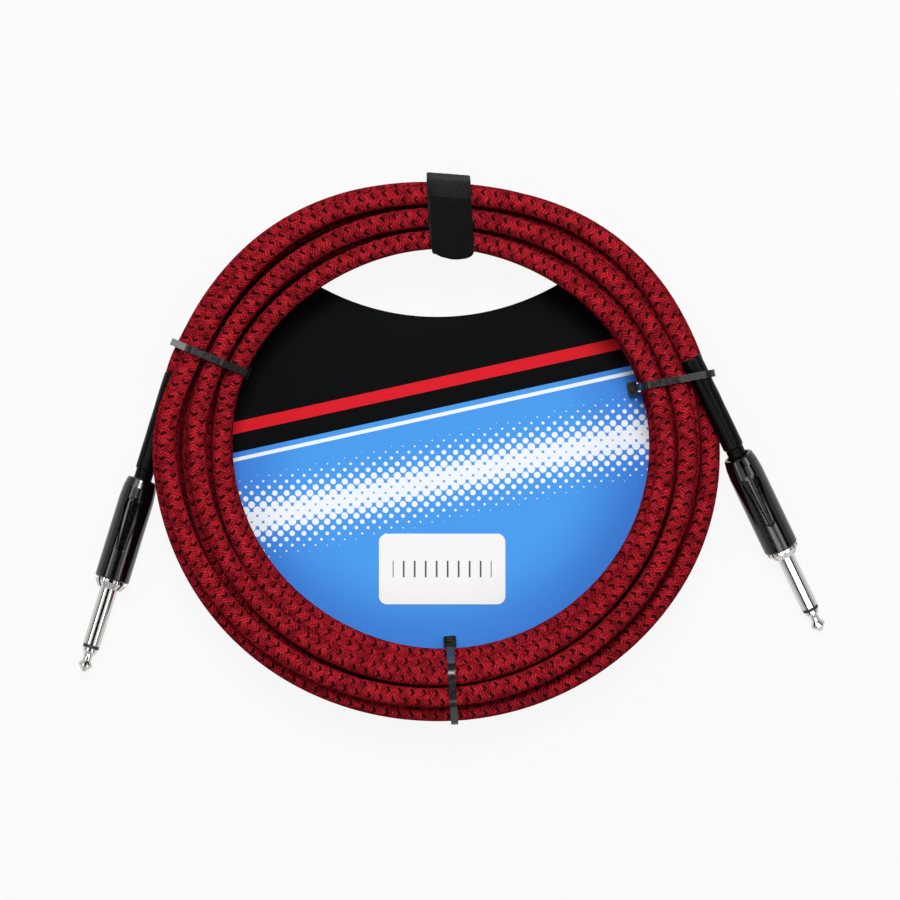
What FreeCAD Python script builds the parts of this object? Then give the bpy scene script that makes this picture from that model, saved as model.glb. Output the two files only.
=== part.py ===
import FreeCAD, Part
import os
from math import acos, atan2, ceil, cos, hypot, pi, radians, sin, sqrt, tan

# An instrument cable, about six metres long, wound into a coil and lying flat on a table. Each end has a
# straight 6.35 mm two-pole plug. Three cable ties and a hook-and-loop strap hold the coil, and the ties
# hold the printed card that shows in its middle. Millimetres, +Z up, the table is at z = 0.
# "Left" and "right" are as seen from above with the strap at the top (+Y).

V = FreeCAD.Vector

# Cable
CABLE_D = 7.0            # over the braid
JACKET_INSET = 0.2       # the braid's thickness, so the black jacket under it is that much smaller in radius
STRAND_GAP = 0.72        # between neighbouring turns in one layer
LAYER_GAP = 0.8          # between one layer and the next
COIL_SIDES = 6           # the coiled stretch is a flat-sided tube, to keep its faces few
CORNER_SHARE = 1.02      # its corners stand this far out, as a share of the cable's radius

# Coil, in four layers: in, out, in, out, wound counter-clockwise from the right lead on top
COIL_X, COIL_Y = -5.5, -0.5
COIL_R = 97.0            # mean radius of the cable's centre line on the outermost turn
COIL_OVAL = 1.9          # the coil is this much longer than round along X, and shorter along Y
FULL_TURNS = 10          # whole turns, before the part turn from the right lead round to the left one
OUTER_TURN_ANGLE = -15.0   # where the second layer reaches the outside and climbs down to the third
NODES_PER_TURN = 4       # quarter-turn biarcs
END_SPREAD = 0.8         # the low end swings this much wider than the spiral, clear of the turn inside it

# Leads: the route's points, from where each lead leaves the coil to the back of its plug's shell
LEFT_ROUTE = [(-101.0, 27.8, 5.72), (-112.8, -10.5, 6.35)]
RIGHT_ROUTE = [(85.3, 33.6, 26.9), (93.2, 17.5, 25.2), (102.7, -1.9, 19.8)]
ROUTE_EASE = 0.45        # an arc's tangent is this share of the shorter run beside it

# Heat-shrink tube over the cable's end
SHRINK_WALL = 0.25
SHRINK_SIDES = 14
SHRINK_START = 3.5       # bare jacket between the shell and the tube
BRAID_END = 5.5          # the braid stops this far behind the shell, inside the tube

# Plug, measured along its axis from the back of the shell
SHELL_LEN = 38.0
SHELL_WALL = 1.35
SHELL_REAR_SLIM = 0.9    # the back of the shell is this much smaller in radius than its widest ring
SHELL_FRONT_SLIM = 0.3   # and this much smaller at its front edge
SHELL_FLARE = 7.5        # length of the flare at the back
SHELL_SHOULDER = 6.0     # length of the narrow bore at the back
SHELL_EDGE = 0.5         # length of the slope at each end's edge
COLLAR_LEN = 3.4
COLLAR_BAND = 1.1        # straight knurled band behind the collar's bevel
COLLAR_NOSE_R = 4.3
KNURLS = 16
KNURL_DEPTH = 0.45
PLUG_LEN = 31.4          # from the collar's front face to the point
SLEEVE_R = 3.175         # the standard 6.35 mm plug
SLEEVE_WALL = 0.75
SLEEVE_STEP = 0.2        # inside the collar the sleeve is this much smaller in radius, and so is the ring
SLEEVE_SEAT = 7.4        # length of the sleeve inside the collar
TIP_LEN = 10.0           # from the end of the sleeve to the point
TIP_R = 2.6
NECK_R = 1.6
ROD_R = 1.2
RIVET_R = 1.7            # the riveted end of the tip's rod
RIVET_LEN = 0.6
RING_LEN = 1.3           # the black insulating ring that shows
SPIGOT_LEN = 6.5         # threaded part of the collar inside the shell
SPIGOT_SHY = 0.3         # the thread's clearance in the shell's bore
LUG = 0.6                # sheet of the solder lugs
WASHER = 1.0
LINER_WALL = 0.5
CLAW_WALL = 0.55
CLAW_LEN = 4.5
CLAW_MOUTH = 3.4         # the gap where the claw was bent shut
CLAMP_LEN = 18.5         # from the collar's spigot back to the end of the claw
ARM_WIDTH = 2.6          # of the strip that joins the clamp lug's ring to its claws
TAB_LEN = 5.4            # the tip lug's tab, which runs back from its ring
TAB_WIDTH = 2.4
TAB_THICK = 0.5
TAB_X = 2.05             # the tab's underside, out from the axis
TAB_HOLE_R = 0.5
TAB_HOLE_AT = 3.2        # behind the ring
TIP_LUG_R = 2.6

# The cable's end inside the plug
JACKET_SHORT = 12.0      # the jacket ends this far behind the collar's spigot
CORE_R = 0.9
CORE_SHOWS = 2.1         # insulation on the core past the jacket's end
WIRE_R = 0.45
SCREEN_R = 0.6
BEND = 2.0               # length of the slanting run that takes a wire out to its lug
WIRE_ON_TAB = 3.0
BARE_END = 1.1           # room between the bare wire's end and the riveted rod
SCREEN_STRAIGHT = 1.2    # the screen leaves the jacket straight for this far
SCREEN_ON_ARM = 3.4
DROP_R = 1.0
DROP_TOP_R = 0.6
DROP_HIGH = 1.2
RUN = 0.2                # radial room between parts that turn in each other
FIT = 0.05               # radial room between parts that are pressed or assembled for good

# Grip recesses round the shell
GRIPS = 3
GRIP_DEPTH = 0.8
GRIP_REAR_R = 3.4
GRIP_REAR_AT = 10.3
GRIP_FRONT_R = 1.9
GRIP_FRONT_AT = 25.7
GRIP_RIB = 0.5           # height of the two ribs in each recess
RIB_REAR_AT = 1.35       # each rib's middle, off the recess's own, at the rear end and at the front
RIB_FRONT_AT = 0.62
RIB_REAR_WIDTH = 0.7
RIB_FRONT_WIDTH = 0.6

# Cable ties: the middle of the band over the coil (x, y from the coil's centre) and the way it runs outward
TIES = {
    "tie_left": (-81.5, 33.8, 157.5),
    "tie_right": (85.0, 25.8, 10.5),
    "tie_bottom": (5.4, -87.0, 273.5),
}
TIE_WIDTH = 2.6
TIE_THICK = 1.2
TIE_HEAD = 4.5
TIE_HEAD_OUT = 3.0       # how far the head stands in from the band
TIE_HEAD_WIDER = 1.0     # how far the head stands out on each side of the band
TIE_HEAD_ROUND = 0.6
TIE_TAIL = 1.2

# Hook-and-loop strap
STRAP_AT = (4.0, 87.0, 90.0)
STRAP_WIDTH = 15.3
STRAP_THICK = 1.5
TONGUE_SEAM = 4.3        # where the closing tongue is sewn on, out from the middle of the bundle
TONGUE_THICK = 1.2
TONGUE_GAP = 0.3
TONGUE_DROP = 55.0       # degrees that the tongue follows the coil's inner edge down
TONGUE_ROUND = 0.7       # depth of the tongue's rounded end, as a share of half its width

# Card and its label
CARD_R = 88.0
CARD_THICK = 0.5
CARD_DIP = (-0.4, 136.8, 87.6)     # centre and radius of the hollow top edge, from the coil's centre
LABEL_AT = (1.5, -42.6)
LABEL_SIZE = (46.0, 25.7)
LABEL_THICK = 0.2
LABEL_CORNER = 3.0
SLOT_ROOM = 0.4
LIE_GAP = 0.2            # room between the ties' bands, the card and the coil that lies on it

# Worked out from the values above
CABLE_R = CABLE_D / 2
JACKET_R = CABLE_R - JACKET_INSET
SHRINK_BORE = CABLE_R + FIT
SHRINK_R = SHRINK_BORE + SHRINK_WALL
PITCH = CABLE_D + STRAND_GAP
LAYER = CABLE_D + LAYER_GAP
BAND_GAP = 0.3
CARD_Z = TIE_THICK + LIE_GAP
COIL_Z = CARD_Z + CARD_THICK + LIE_GAP + CABLE_R
CLAW_BORE = JACKET_R + FIT
CLAW_R = CLAW_BORE + CLAW_WALL
LINER_BORE = CLAW_R + 2 * RUN
LINER_R = LINER_BORE + LINER_WALL
SHELL_BORE = LINER_R + RUN
SHELL_R = SHELL_BORE + SHELL_WALL
SHELL_REAR_R = SHELL_R - SHELL_REAR_SLIM
SHELL_FRONT_R = SHELL_R - SHELL_FRONT_SLIM
SHELL_REAR_BORE = SHRINK_R + 1.5 * RUN
SPIGOT_R = SHELL_BORE - SPIGOT_SHY
COLLAR_R = SHELL_FRONT_R - 0.1
COLLAR_FRONT = SHELL_LEN + COLLAR_LEN
TIP_END = COLLAR_FRONT + PLUG_LEN
SLEEVE_END = TIP_END - TIP_LEN
SPIGOT_BACK = SHELL_LEN - SPIGOT_LEN
INSULATOR_R = SLEEVE_R - SLEEVE_WALL - FIT
SEAT_R = SLEEVE_R - SLEEVE_STEP
SEAT_BACK = COLLAR_FRONT - SLEEVE_SEAT
ROD_BACK = SPIGOT_BACK - LUG - WASHER - LUG      # front of the riveted end of the tip's rod
JACKET_FRONT = SPIGOT_BACK - JACKET_SHORT
CARD_TOP = CARD_Z + CARD_THICK


def on_coil(x, y, z=0.0):
    """A point given from the coil's centre, in the part's frame."""
    return V(COIL_X + x, COIL_Y + y, z)


def arc_between(a, tangent, b):
    """The edge from a to b that leaves a along the tangent: an arc, or a line if b lies straight ahead."""
    chord = b - a
    side = chord - tangent * chord.dot(tangent)
    if side.Length < 1e-5 * chord.Length:
        return Part.LineSegment(a, b).toShape()
    side.normalize()
    half = atan2(chord.dot(side), chord.dot(tangent))
    radius = chord.Length / (2 * sin(half))
    middle = a + tangent * (radius * sin(half)) + side * (radius * (1 - cos(half)))
    return Part.Arc(a, middle, b).toShape()


def biarc(a, ta, b, tb):
    """Two arcs from a to b that meet smoothly and keep the tangents at both ends."""
    v = b - a
    t = ta + tb
    vt = v.dot(t)
    spread = 2 * (1 - ta.dot(tb))
    if spread < 1e-9:
        d = v.dot(v) / (2 * vt)
    else:
        d = (-vt + sqrt(vt * vt + spread * v.dot(v))) / spread
    meet = (a + ta * d + b - tb * d) * 0.5
    turned = (b - tb * d - a - ta * d).normalize()
    return [arc_between(a, ta, meet), arc_between(meet, turned, b)]


def eased_path(points):
    """Straight runs joined by tangent arcs, as edges, with the arcs' radii."""
    edges, radii = [], []
    start = points[0]
    for before, here, after in zip(points, points[1:], points[2:]):
        run_in, run_out = (here - before).Length, (after - here).Length
        din, dout = (here - before).normalize(), (after - here).normalize()
        turn = acos(max(-1.0, min(1.0, din.dot(dout))))
        reach = ROUTE_EASE * min(run_in, run_out)
        a, b = here - din * reach, here + dout * reach
        edges.append(Part.LineSegment(start, a).toShape())
        edges.append(arc_between(a, din, b))
        radii.append(reach / tan(turn / 2))
        start = b
    edges.append(Part.LineSegment(start, points[-1]).toShape())
    return edges, radii


def round_section(start, direction, radius):
    return Part.Wire(Part.Circle(start, direction, radius).toShape())


def flat_sided_section(start, direction, radius, sides=COIL_SIDES):
    """A polygon with its corners on the radius, and a flat side up on a run that lies level."""
    side = direction.cross(V(1, 0, 0) if abs(direction.z) > 0.99 else V(0, 0, 1)).normalize()
    up = side.cross(direction)
    corners = []
    for i in range(sides + 1):
        a = 2 * pi * (i + 0.5) / sides
        corners.append(start + side * (radius * cos(a)) + up * (radius * sin(a)))
    return Part.makePolygon(corners)


def shrink_section(start, direction, radius):
    """The heat-shrink tube's own polygon, with the middles of its sides on the radius."""
    return flat_sided_section(start, direction, radius / cos(pi / SHRINK_SIDES), SHRINK_SIDES)


def section_area(radius):
    return COIL_SIDES / 2 * sin(2 * pi / COIL_SIDES) * radius ** 2


def swept(edges, radius, section=round_section):
    """A solid of one section swept along edges that join smoothly."""
    pipe_shell = Part.BRepOffsetAPI.MakePipeShell(Part.Wire(edges))
    start = edges[0].valueAt(edges[0].FirstParameter)
    direction = edges[0].tangentAt(edges[0].FirstParameter)
    pipe_shell.add(section(start, direction, radius), False, False)
    pipe_shell.build()
    pipe_shell.makeSolid()
    return pipe_shell.shape()


def along(point, toward, distance):
    return point + (toward - point).normalize() * distance


# The leads' routes, with the straight run of one diameter that each end of the coil keeps
LEFT = [V(*p) for p in LEFT_ROUTE]
RIGHT = [V(*p) for p in RIGHT_ROUTE]
TOP_START = along(RIGHT[0], RIGHT[1], -CABLE_D)
LOW_END = along(LEFT[0], LEFT[1], -CABLE_D)


def polar(point):
    x, y = point.x - COIL_X, point.y - COIL_Y
    return hypot(x, y), atan2(y, x)


START_R, START_ANGLE = polar(TOP_START)
END_R, END_ANGLE = polar(LOW_END)
TURNS = FULL_TURNS + (END_ANGLE - START_ANGLE) / (2 * pi)


def plain_radius(radius, angle):
    """The radius with the coil's oval taken out."""
    return radius - COIL_OVAL * cos(2 * angle)


# How many turns each layer takes follows from its two radii and the steady rate between them
FIRST_R = plain_radius(START_R, START_ANGLE)
LAST_R = plain_radius(END_R, END_ANGLE) - END_SPREAD
OUTER_AT = FULL_TURNS // 2 + (radians(OUTER_TURN_ANGLE) - START_ANGLE) / (2 * pi)
INNER_AT_TOP = (OUTER_AT - (COIL_R - FIRST_R) / PITCH) / 2
INNER_AT_LOW = (OUTER_AT + TURNS - (LAST_R - COIL_R) / PITCH) / 2
REVERSALS = [INNER_AT_TOP, OUTER_AT, INNER_AT_LOW]


def spiral_radius(s):
    """Mean radius after s turns: in, out, in and out again at one rate."""
    if s < INNER_AT_TOP:
        return FIRST_R - PITCH * s
    if s < INNER_AT_LOW:
        return COIL_R - PITCH * abs(s - OUTER_AT)
    return LAST_R - PITCH * (TURNS - s)


def spiral_height(s):
    """The height falls by a layer in the half turn round each reversal."""
    z = COIL_Z + 3 * LAYER
    for at in REVERSALS:
        share = min(1.0, max(0.0, (s - at) * 2 + 0.5))
        z -= LAYER * share * share * (3 - 2 * share)
    return z


def spiral_point(s):
    angle = START_ANGLE + 2 * pi * s
    r = spiral_radius(s) + COIL_OVAL * cos(2 * angle)
    return on_coil(r * cos(angle), r * sin(angle), spiral_height(s))


def coil_edges():
    """One unbroken path: a straight end, quarter-turn biarcs through the spiral, a straight end."""
    count = ceil(TURNS * NODES_PER_TURN)
    step = TURNS / count
    nodes = [(TOP_START, (TOP_START - RIGHT[0]).normalize())]
    for i in range(1, count):
        s = i * step
        ahead, behind = spiral_point(s + 0.01), spiral_point(s - 0.01)
        nodes.append((spiral_point(s), (ahead - behind).normalize()))
    nodes.append((LOW_END, (LEFT[0] - LOW_END).normalize()))
    edges = [Part.LineSegment(RIGHT[0], TOP_START).toShape()]
    for (a, ta), (b, tb) in zip(nodes, nodes[1:]):
        edges += biarc(a, ta, b, tb)
    edges.append(Part.LineSegment(LOW_END, LEFT[0]).toShape())
    return edges


def sampled(edges, spacing):
    points = []
    for edge in edges:
        count = max(2, ceil(edge.Length / spacing))
        span = edge.LastParameter - edge.FirstParameter
        for i in range(count):
            points.append(edge.valueAt(edge.FirstParameter + span * i / count))
    return points


def least_gap_to_itself(points, spacing):
    """The least room between strands that are more than half a turn apart along the cable."""
    skip = int(pi * COIL_R / spacing)
    least = 1e9
    cells = {}
    for i, p in enumerate(points):
        key = (int(p.x // 12), int(p.y // 12))
        for dx in (-1, 0, 1):
            for dy in (-1, 0, 1):
                for j, q in cells.get((key[0] + dx, key[1] + dy), ()):
                    if i - j > skip:
                        least = min(least, (p - q).Length)
        cells.setdefault(key, []).append((i, p))
    return least - 2 * CORNER_SHARE * CABLE_R


# Bands round the bundle: ties and strap
def band_frame(x, y, angle):
    """Origin of a band's own plane (on the table), the way outward, and the way along the coil."""
    a = radians(angle)
    return on_coil(x, y), V(cos(a), sin(a), 0), V(-sin(a), cos(a), 0)


def crossings(points, frame, offset):
    """Where a path crosses the plane of a band: how far out and how high."""
    origin, out, side = frame
    found = []
    for p, q in zip(points, points[1:]):
        a, b = (p - origin).dot(side) - offset, (q - origin).dot(side) - offset
        if a * b < 0 and abs((p - origin).dot(out)) < 40:
            at = p + (q - p) * (a / (a - b))
            found.append(((at - origin).dot(out), at.z))
    return found


def bundle_section(frame, width, extra):
    """The strands under a band: per crossing, the least and most that any of the band's width meets."""
    rows = [crossings(STRANDS, frame, offset) for offset in (-width / 2, 0, width / 2)]
    section = []
    for near in rows[1]:
        same = [near]
        for row in (rows[0], rows[2]):
            same.append(min(row, key=lambda c: hypot(c[0] - near[0], c[1] - near[1])))
        low = min(c[0] for c in same)
        high = max(c[0] for c in same)
        z = near[1]
        section += [(low, z), (high, z)] if high - low > 0.1 else [(near[0], z)]
    return section + extra


def hull(points):
    """Convex outline of points, counter-clockwise, without points in line."""
    points = sorted(set(points))

    def half(sequence):
        line = []
        for p in sequence:
            while len(line) > 1:
                (ax, ay), (bx, by) = line[-2], line[-1]
                if (bx - ax) * (p[1] - ay) - (by - ay) * (p[0] - ax) > 0.02:
                    break
                line.pop()
            line.append(p)
        return line[:-1]

    return half(points) + half(points[::-1])


def wrapped(corners, radius, frame, shift):
    """The outline of a band drawn tight at one radius round each corner of the bundle."""
    origin, out, side = frame
    base = origin + side * shift

    def place(p):
        return base + out * p[0] + V(0, 0, p[1])

    count = len(corners)
    normals = []
    for i in range(count):
        (ax, ay), (bx, by) = corners[i], corners[(i + 1) % count]
        length = hypot(bx - ax, by - ay)
        normals.append(((by - ay) / length, -(bx - ax) / length))
    edges = []
    for i in range(count):
        a, b = corners[i], corners[(i + 1) % count]
        n, m = normals[i], normals[(i + 1) % count]
        start = (a[0] + n[0] * radius, a[1] + n[1] * radius)
        end = (b[0] + n[0] * radius, b[1] + n[1] * radius)
        edges.append(Part.LineSegment(place(start), place(end)).toShape())
        mid = (n[0] + m[0], n[1] + m[1])
        size = hypot(*mid)
        top = (b[0] + mid[0] / size * radius, b[1] + mid[1] / size * radius)
        finish = (b[0] + m[0] * radius, b[1] + m[1] * radius)
        edges.append(Part.Arc(place(end), place(top), place(finish)).toShape())
    return Part.Wire(edges)


def lowered(section, thick):
    """The bottom strands, moved down so that a band round them passes under the card, onto the table."""
    floor = CABLE_R + BAND_GAP + thick
    return [(x, floor if z < COIL_Z + 1 else z) for x, z in section]


def band(corners, frame, width, thick):
    """A closed band round the bundle."""
    inner = CABLE_R + BAND_GAP
    outside = Part.Face(wrapped(corners, inner + thick, frame, -width / 2))
    inside = Part.Face(wrapped(corners, inner, frame, -width / 2))
    return outside.cut(inside).extrude(frame[2] * width)


def box_in(frame, low, high, half_width):
    """A box in a band's own plane: low and high are (out, z) corners."""
    origin, out, side = frame
    corners = [(low[0], low[1]), (high[0], low[1]), (high[0], high[1]), (low[0], high[1])]
    points = [origin + out * x + V(0, 0, z) - side * half_width for x, z in corners]
    face = Part.Face(Part.makePolygon(points + points[:1]))
    return face.extrude(side * (2 * half_width))


def inner_side(ring, frame, low, high):
    """How far out a band's inner side starts and ends between two heights."""
    slab = box_in(frame, (-40, low), (0, high), 20)
    part = min(ring.common(slab).Solids, key=lambda s: (s.CenterOfMass - frame[0]).dot(frame[1]))
    reach = [(v.Point - frame[0]).dot(frame[1]) for v in part.Vertexes]
    return min(reach), max(reach)


def tie(corners, frame):
    """A nylon tie: the band, its head standing on the card, and the cut tail above the head."""
    ring = band(corners, frame, TIE_WIDTH, TIE_THICK)
    base = CARD_TOP + LIE_GAP
    edge = inner_side(ring, frame, base, base + TIE_HEAD)[0]
    head = box_in(frame, (edge - TIE_HEAD_OUT, base), (edge + TIE_THICK / 2, base + TIE_HEAD),
                  TIE_WIDTH / 2 + TIE_HEAD_WIDER)
    tall = [e for e in head.Edges if abs(e.tangentAt(e.FirstParameter).z) > 0.9]
    head = head.makeFillet(TIE_HEAD_ROUND, tall)
    tail_at = edge - TIE_HEAD_OUT / 2
    tail_top = base + TIE_HEAD + TIE_TAIL
    tail = box_in(frame, (tail_at - TIE_THICK / 2, base), (tail_at + TIE_THICK / 2, tail_top), TIE_WIDTH / 2)
    return ring.fuse([head, tail]).removeSplitter()


def card_slot(corners, frame):
    """The slot in the card that a tie's band comes up through."""
    ring = band(corners, frame, TIE_WIDTH, TIE_THICK)
    first, last = inner_side(ring, frame, CARD_Z - LIE_GAP / 2, CARD_TOP + LIE_GAP / 2)
    return box_in(frame, (first - SLOT_ROOM, 0), (last + SLOT_ROOM, CARD_TOP + 1), TIE_WIDTH / 2 + SLOT_ROOM)


def tongue(corners, frame):
    """The strap's closing tongue: it lies on the strap from its seam to just over the coil's inner edge."""
    low = BAND_GAP + STRAP_THICK + TONGUE_GAP
    outside = Part.Face(wrapped(corners, CABLE_R + low + TONGUE_THICK, frame, -STRAP_WIDTH / 2))
    inside = Part.Face(wrapped(corners, CABLE_R + low, frame, -STRAP_WIDTH / 2))
    layer = outside.cut(inside).extrude(frame[2] * STRAP_WIDTH)
    origin, out, side = frame
    top = max(z for x, z in corners)
    end = min(x for x, z in corners if z > top - LAYER / 2) - (CABLE_R + low) * sin(radians(TONGUE_DROP))
    half = STRAP_WIDTH / 2
    round_from = end + half * TONGUE_ROUND

    def place(x, across):
        return origin + out * x + side * across + V(0, 0, top - 2 * CABLE_R)

    outline = Part.Wire([
        Part.LineSegment(place(TONGUE_SEAM, -half), place(round_from, -half)).toShape(),
        Part.Arc(place(round_from, -half), place(end, 0), place(round_from, half)).toShape(),
        Part.LineSegment(place(round_from, half), place(TONGUE_SEAM, half)).toShape(),
        Part.LineSegment(place(TONGUE_SEAM, half), place(TONGUE_SEAM, -half)).toShape(),
    ])
    return layer.common(Part.Face(outline).extrude(V(0, 0, 5 * CABLE_R)))


# Card
def card(slots):
    dip_x, dip_y, dip_r = CARD_DIP
    disc = Part.makeCylinder(CARD_R, CARD_THICK, on_coil(0, 0, CARD_Z))
    dip = Part.makeCylinder(dip_r, CARD_THICK + 2, on_coil(dip_x, dip_y, CARD_Z - 1))
    return disc.cut([dip] + slots)


def label():
    w, h = LABEL_SIZE
    block = Part.makeBox(w, h, LABEL_THICK, on_coil(LABEL_AT[0] - w / 2, LABEL_AT[1] - h / 2, CARD_TOP))
    corners = [e for e in block.Edges if abs(e.tangentAt(e.FirstParameter).z) > 0.9]
    return block.makeFillet(LABEL_CORNER, corners)


# Plug pieces, each drawn along +Z from the back of the shell (z = 0) to the point, +X up
def turned(*steps):
    """A solid of revolution from its (r, z) corners."""
    corners = [V(r, 0, z) for r, z in steps]
    return Part.Face(Part.makePolygon(corners + corners[:1])).revolve(V(0, 0, 0), V(0, 0, 1), 360)


def pipe(bore, radius, low, high):
    return turned((bore, low), (radius, low), (radius, high), (bore, high))


def tip_contact():
    e = TIP_END
    shoulder = e - TIP_LEN + RING_LEN
    return turned(
        (0, e), (0.7, e), (TIP_R, e - 2.1), (TIP_R, e - 2.7),
        (TIP_R - 0.35, e - 3.3), (NECK_R, e - 4.1), (NECK_R, e - 5.6), (NECK_R + 0.25, e - 6.5),
        (TIP_R, e - 7.5), (TIP_R, shoulder), (ROD_R, shoulder),
        (ROD_R, ROD_BACK), (RIVET_R, ROD_BACK), (RIVET_R, ROD_BACK - RIVET_LEN), (0, ROD_BACK - RIVET_LEN))


def tip_insulator():
    bore = ROD_R + FIT
    ring = SLEEVE_END + RING_LEN
    flange = SLEEVE_R - SLEEVE_STEP
    return turned((bore, SPIGOT_BACK), (INSULATOR_R, SPIGOT_BACK), (INSULATOR_R, SLEEVE_END),
                  (flange, SLEEVE_END), (flange, ring), (bore, ring))


def sleeve():
    bore = INSULATOR_R + FIT
    return turned((bore, SEAT_BACK), (SEAT_R, SEAT_BACK), (SEAT_R, COLLAR_FRONT), (SLEEVE_R, COLLAR_FRONT),
                  (SLEEVE_R, SLEEVE_END), (bore, SLEEVE_END))


def collar():
    """Turned brass: the knurled band and bevel in front, the threaded spigot behind."""
    bore = SEAT_R + FIT
    back = SHELL_LEN + FIT
    body = turned((bore, SEAT_BACK), (INSULATOR_R + FIT, SEAT_BACK), (INSULATOR_R + FIT, SPIGOT_BACK),
                  (SPIGOT_R, SPIGOT_BACK), (SPIGOT_R, back),
                  (COLLAR_R, back), (COLLAR_R, back + COLLAR_BAND), (COLLAR_NOSE_R, COLLAR_FRONT),
                  (bore, COLLAR_FRONT))
    slope = atan2(COLLAR_R - COLLAR_NOSE_R, COLLAR_LEN - COLLAR_BAND)
    start = V(COLLAR_R - KNURL_DEPTH, 0, back)
    wedge = Part.Face(Part.makePolygon([start, start + V(1, 1, 0), start + V(1, -1, 0), start]))
    straight = wedge.extrude(V(0, 0, COLLAR_BAND))
    bevelled = wedge.translated(V(0, 0, COLLAR_BAND)).extrude(V(-sin(slope), 0, cos(slope)) * 2 * COLLAR_LEN)
    groove = straight.fuse(bevelled)
    cutters = []
    for i in range(KNURLS):
        cutter = groove.copy()
        cutter.rotate(V(0, 0, 0), V(0, 0, 1), 360 / KNURLS * i)
        cutters.append(cutter)
    return body.cut(cutters)


def clamp_lug():
    """The sleeve's solder lug: a ring behind the spigot, an arm, and a claw closed round the jacket."""
    back = SPIGOT_BACK - CLAMP_LEN
    ring = pipe(INSULATOR_R + FIT, CLAW_R + 0.1, SPIGOT_BACK - LUG, SPIGOT_BACK)
    arm_low = back + CLAW_LEN
    arm = Part.makeBox(CLAW_WALL, ARM_WIDTH, SPIGOT_BACK - arm_low, V(-CLAW_R, -ARM_WIDTH / 2, arm_low))
    mouth = Part.makeBox(2 * CLAW_R, CLAW_MOUTH, CLAMP_LEN, V(0, -CLAW_MOUTH / 2, back))
    claw = pipe(CLAW_BORE, CLAW_R, back, arm_low).cut(mouth)
    return ring.fuse([arm, claw]).removeSplitter()


def rear_washer():
    return pipe(ROD_R + FIT, CLAW_BORE - FIT, SPIGOT_BACK - LUG - WASHER, SPIGOT_BACK - LUG)


def tip_lug():
    front = ROD_BACK + LUG
    ring = pipe(ROD_R + FIT, TIP_LUG_R, ROD_BACK, front)
    tab = Part.makeBox(TAB_THICK, TAB_WIDTH, TAB_LEN, V(TAB_X, -TAB_WIDTH / 2, front - TAB_LEN))
    hole_at = V(TAB_X - TAB_THICK / 2, 0, ROD_BACK - TAB_HOLE_AT)
    hole = Part.makeCylinder(TAB_HOLE_R, 2 * TAB_THICK, hole_at, V(1, 0, 0))
    return ring.fuse(tab).cut(hole).removeSplitter()


def liner():
    return pipe(LINER_BORE, LINER_R, SHELL_SHOULDER + 0.1, SPIGOT_BACK - 0.3)


def tube_through(points, radius):
    edges, radii = eased_path([V(*p) for p in points])
    return swept(edges, radius, flat_sided_section)


def jacket():
    return turned((0, -BRAID_END), (JACKET_R, -BRAID_END), (JACKET_R, JACKET_FRONT), (0, JACKET_FRONT))


def core():
    """The insulated inner wire and its bare end, which lies against the tip lug's tab."""
    bare_x = TAB_X - WIRE_R - 0.02
    bend_at = ROD_BACK - RIVET_LEN - BARE_END - WIRE_ON_TAB
    wire = tube_through([(0, 0, JACKET_FRONT + 1), (0, 0, bend_at - BEND), (bare_x, 0, bend_at),
                         (bare_x, 0, bend_at + WIRE_ON_TAB)], WIRE_R)
    cover = tube_through([(0, 0, JACKET_FRONT), (0, 0, JACKET_FRONT + CORE_SHOWS)], CORE_R)
    return cover.fuse(wire).removeSplitter()


def screen():
    """The cable's screen, twisted into a tail and laid on the clamp lug's arm."""
    start_x = -(CORE_R + SCREEN_R + FIT)
    on_arm = -(CLAW_BORE - SCREEN_R - 0.02)
    out_at = JACKET_FRONT + SCREEN_STRAIGHT
    return tube_through([(start_x, 0, JACKET_FRONT), (start_x, 0, out_at), (on_arm, 0, out_at + BEND),
                         (on_arm, 0, out_at + BEND + SCREEN_ON_ARM)], SCREEN_R)


def solder(core_solid, screen_solid, lug, clamp):
    """Two drops: one holds the core under the tip lug's tab, one holds the screen on the arm."""
    drops = []
    on_tab = ROD_BACK - RIVET_LEN - BARE_END - WIRE_ON_TAB / 2
    on_arm = JACKET_FRONT + SCREEN_STRAIGHT + BEND + SCREEN_ON_ARM / 2
    for x, toward, z, wire in ((TAB_X, -1, on_tab, core_solid), (-CLAW_BORE, 1, on_arm, screen_solid)):
        foot, way = V(x + toward * FIT, 0, z), V(toward, 0, 0)
        wide = flat_sided_section(foot, way, DROP_R)
        narrow = flat_sided_section(foot + way * DROP_HIGH, way, DROP_TOP_R)
        drops.append(Part.makeLoft([wide, narrow], True, True).cut([wire, lug, clamp]))
    return Part.makeCompound([max(d.Solids, key=lambda s: s.Volume) for d in drops])


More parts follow.
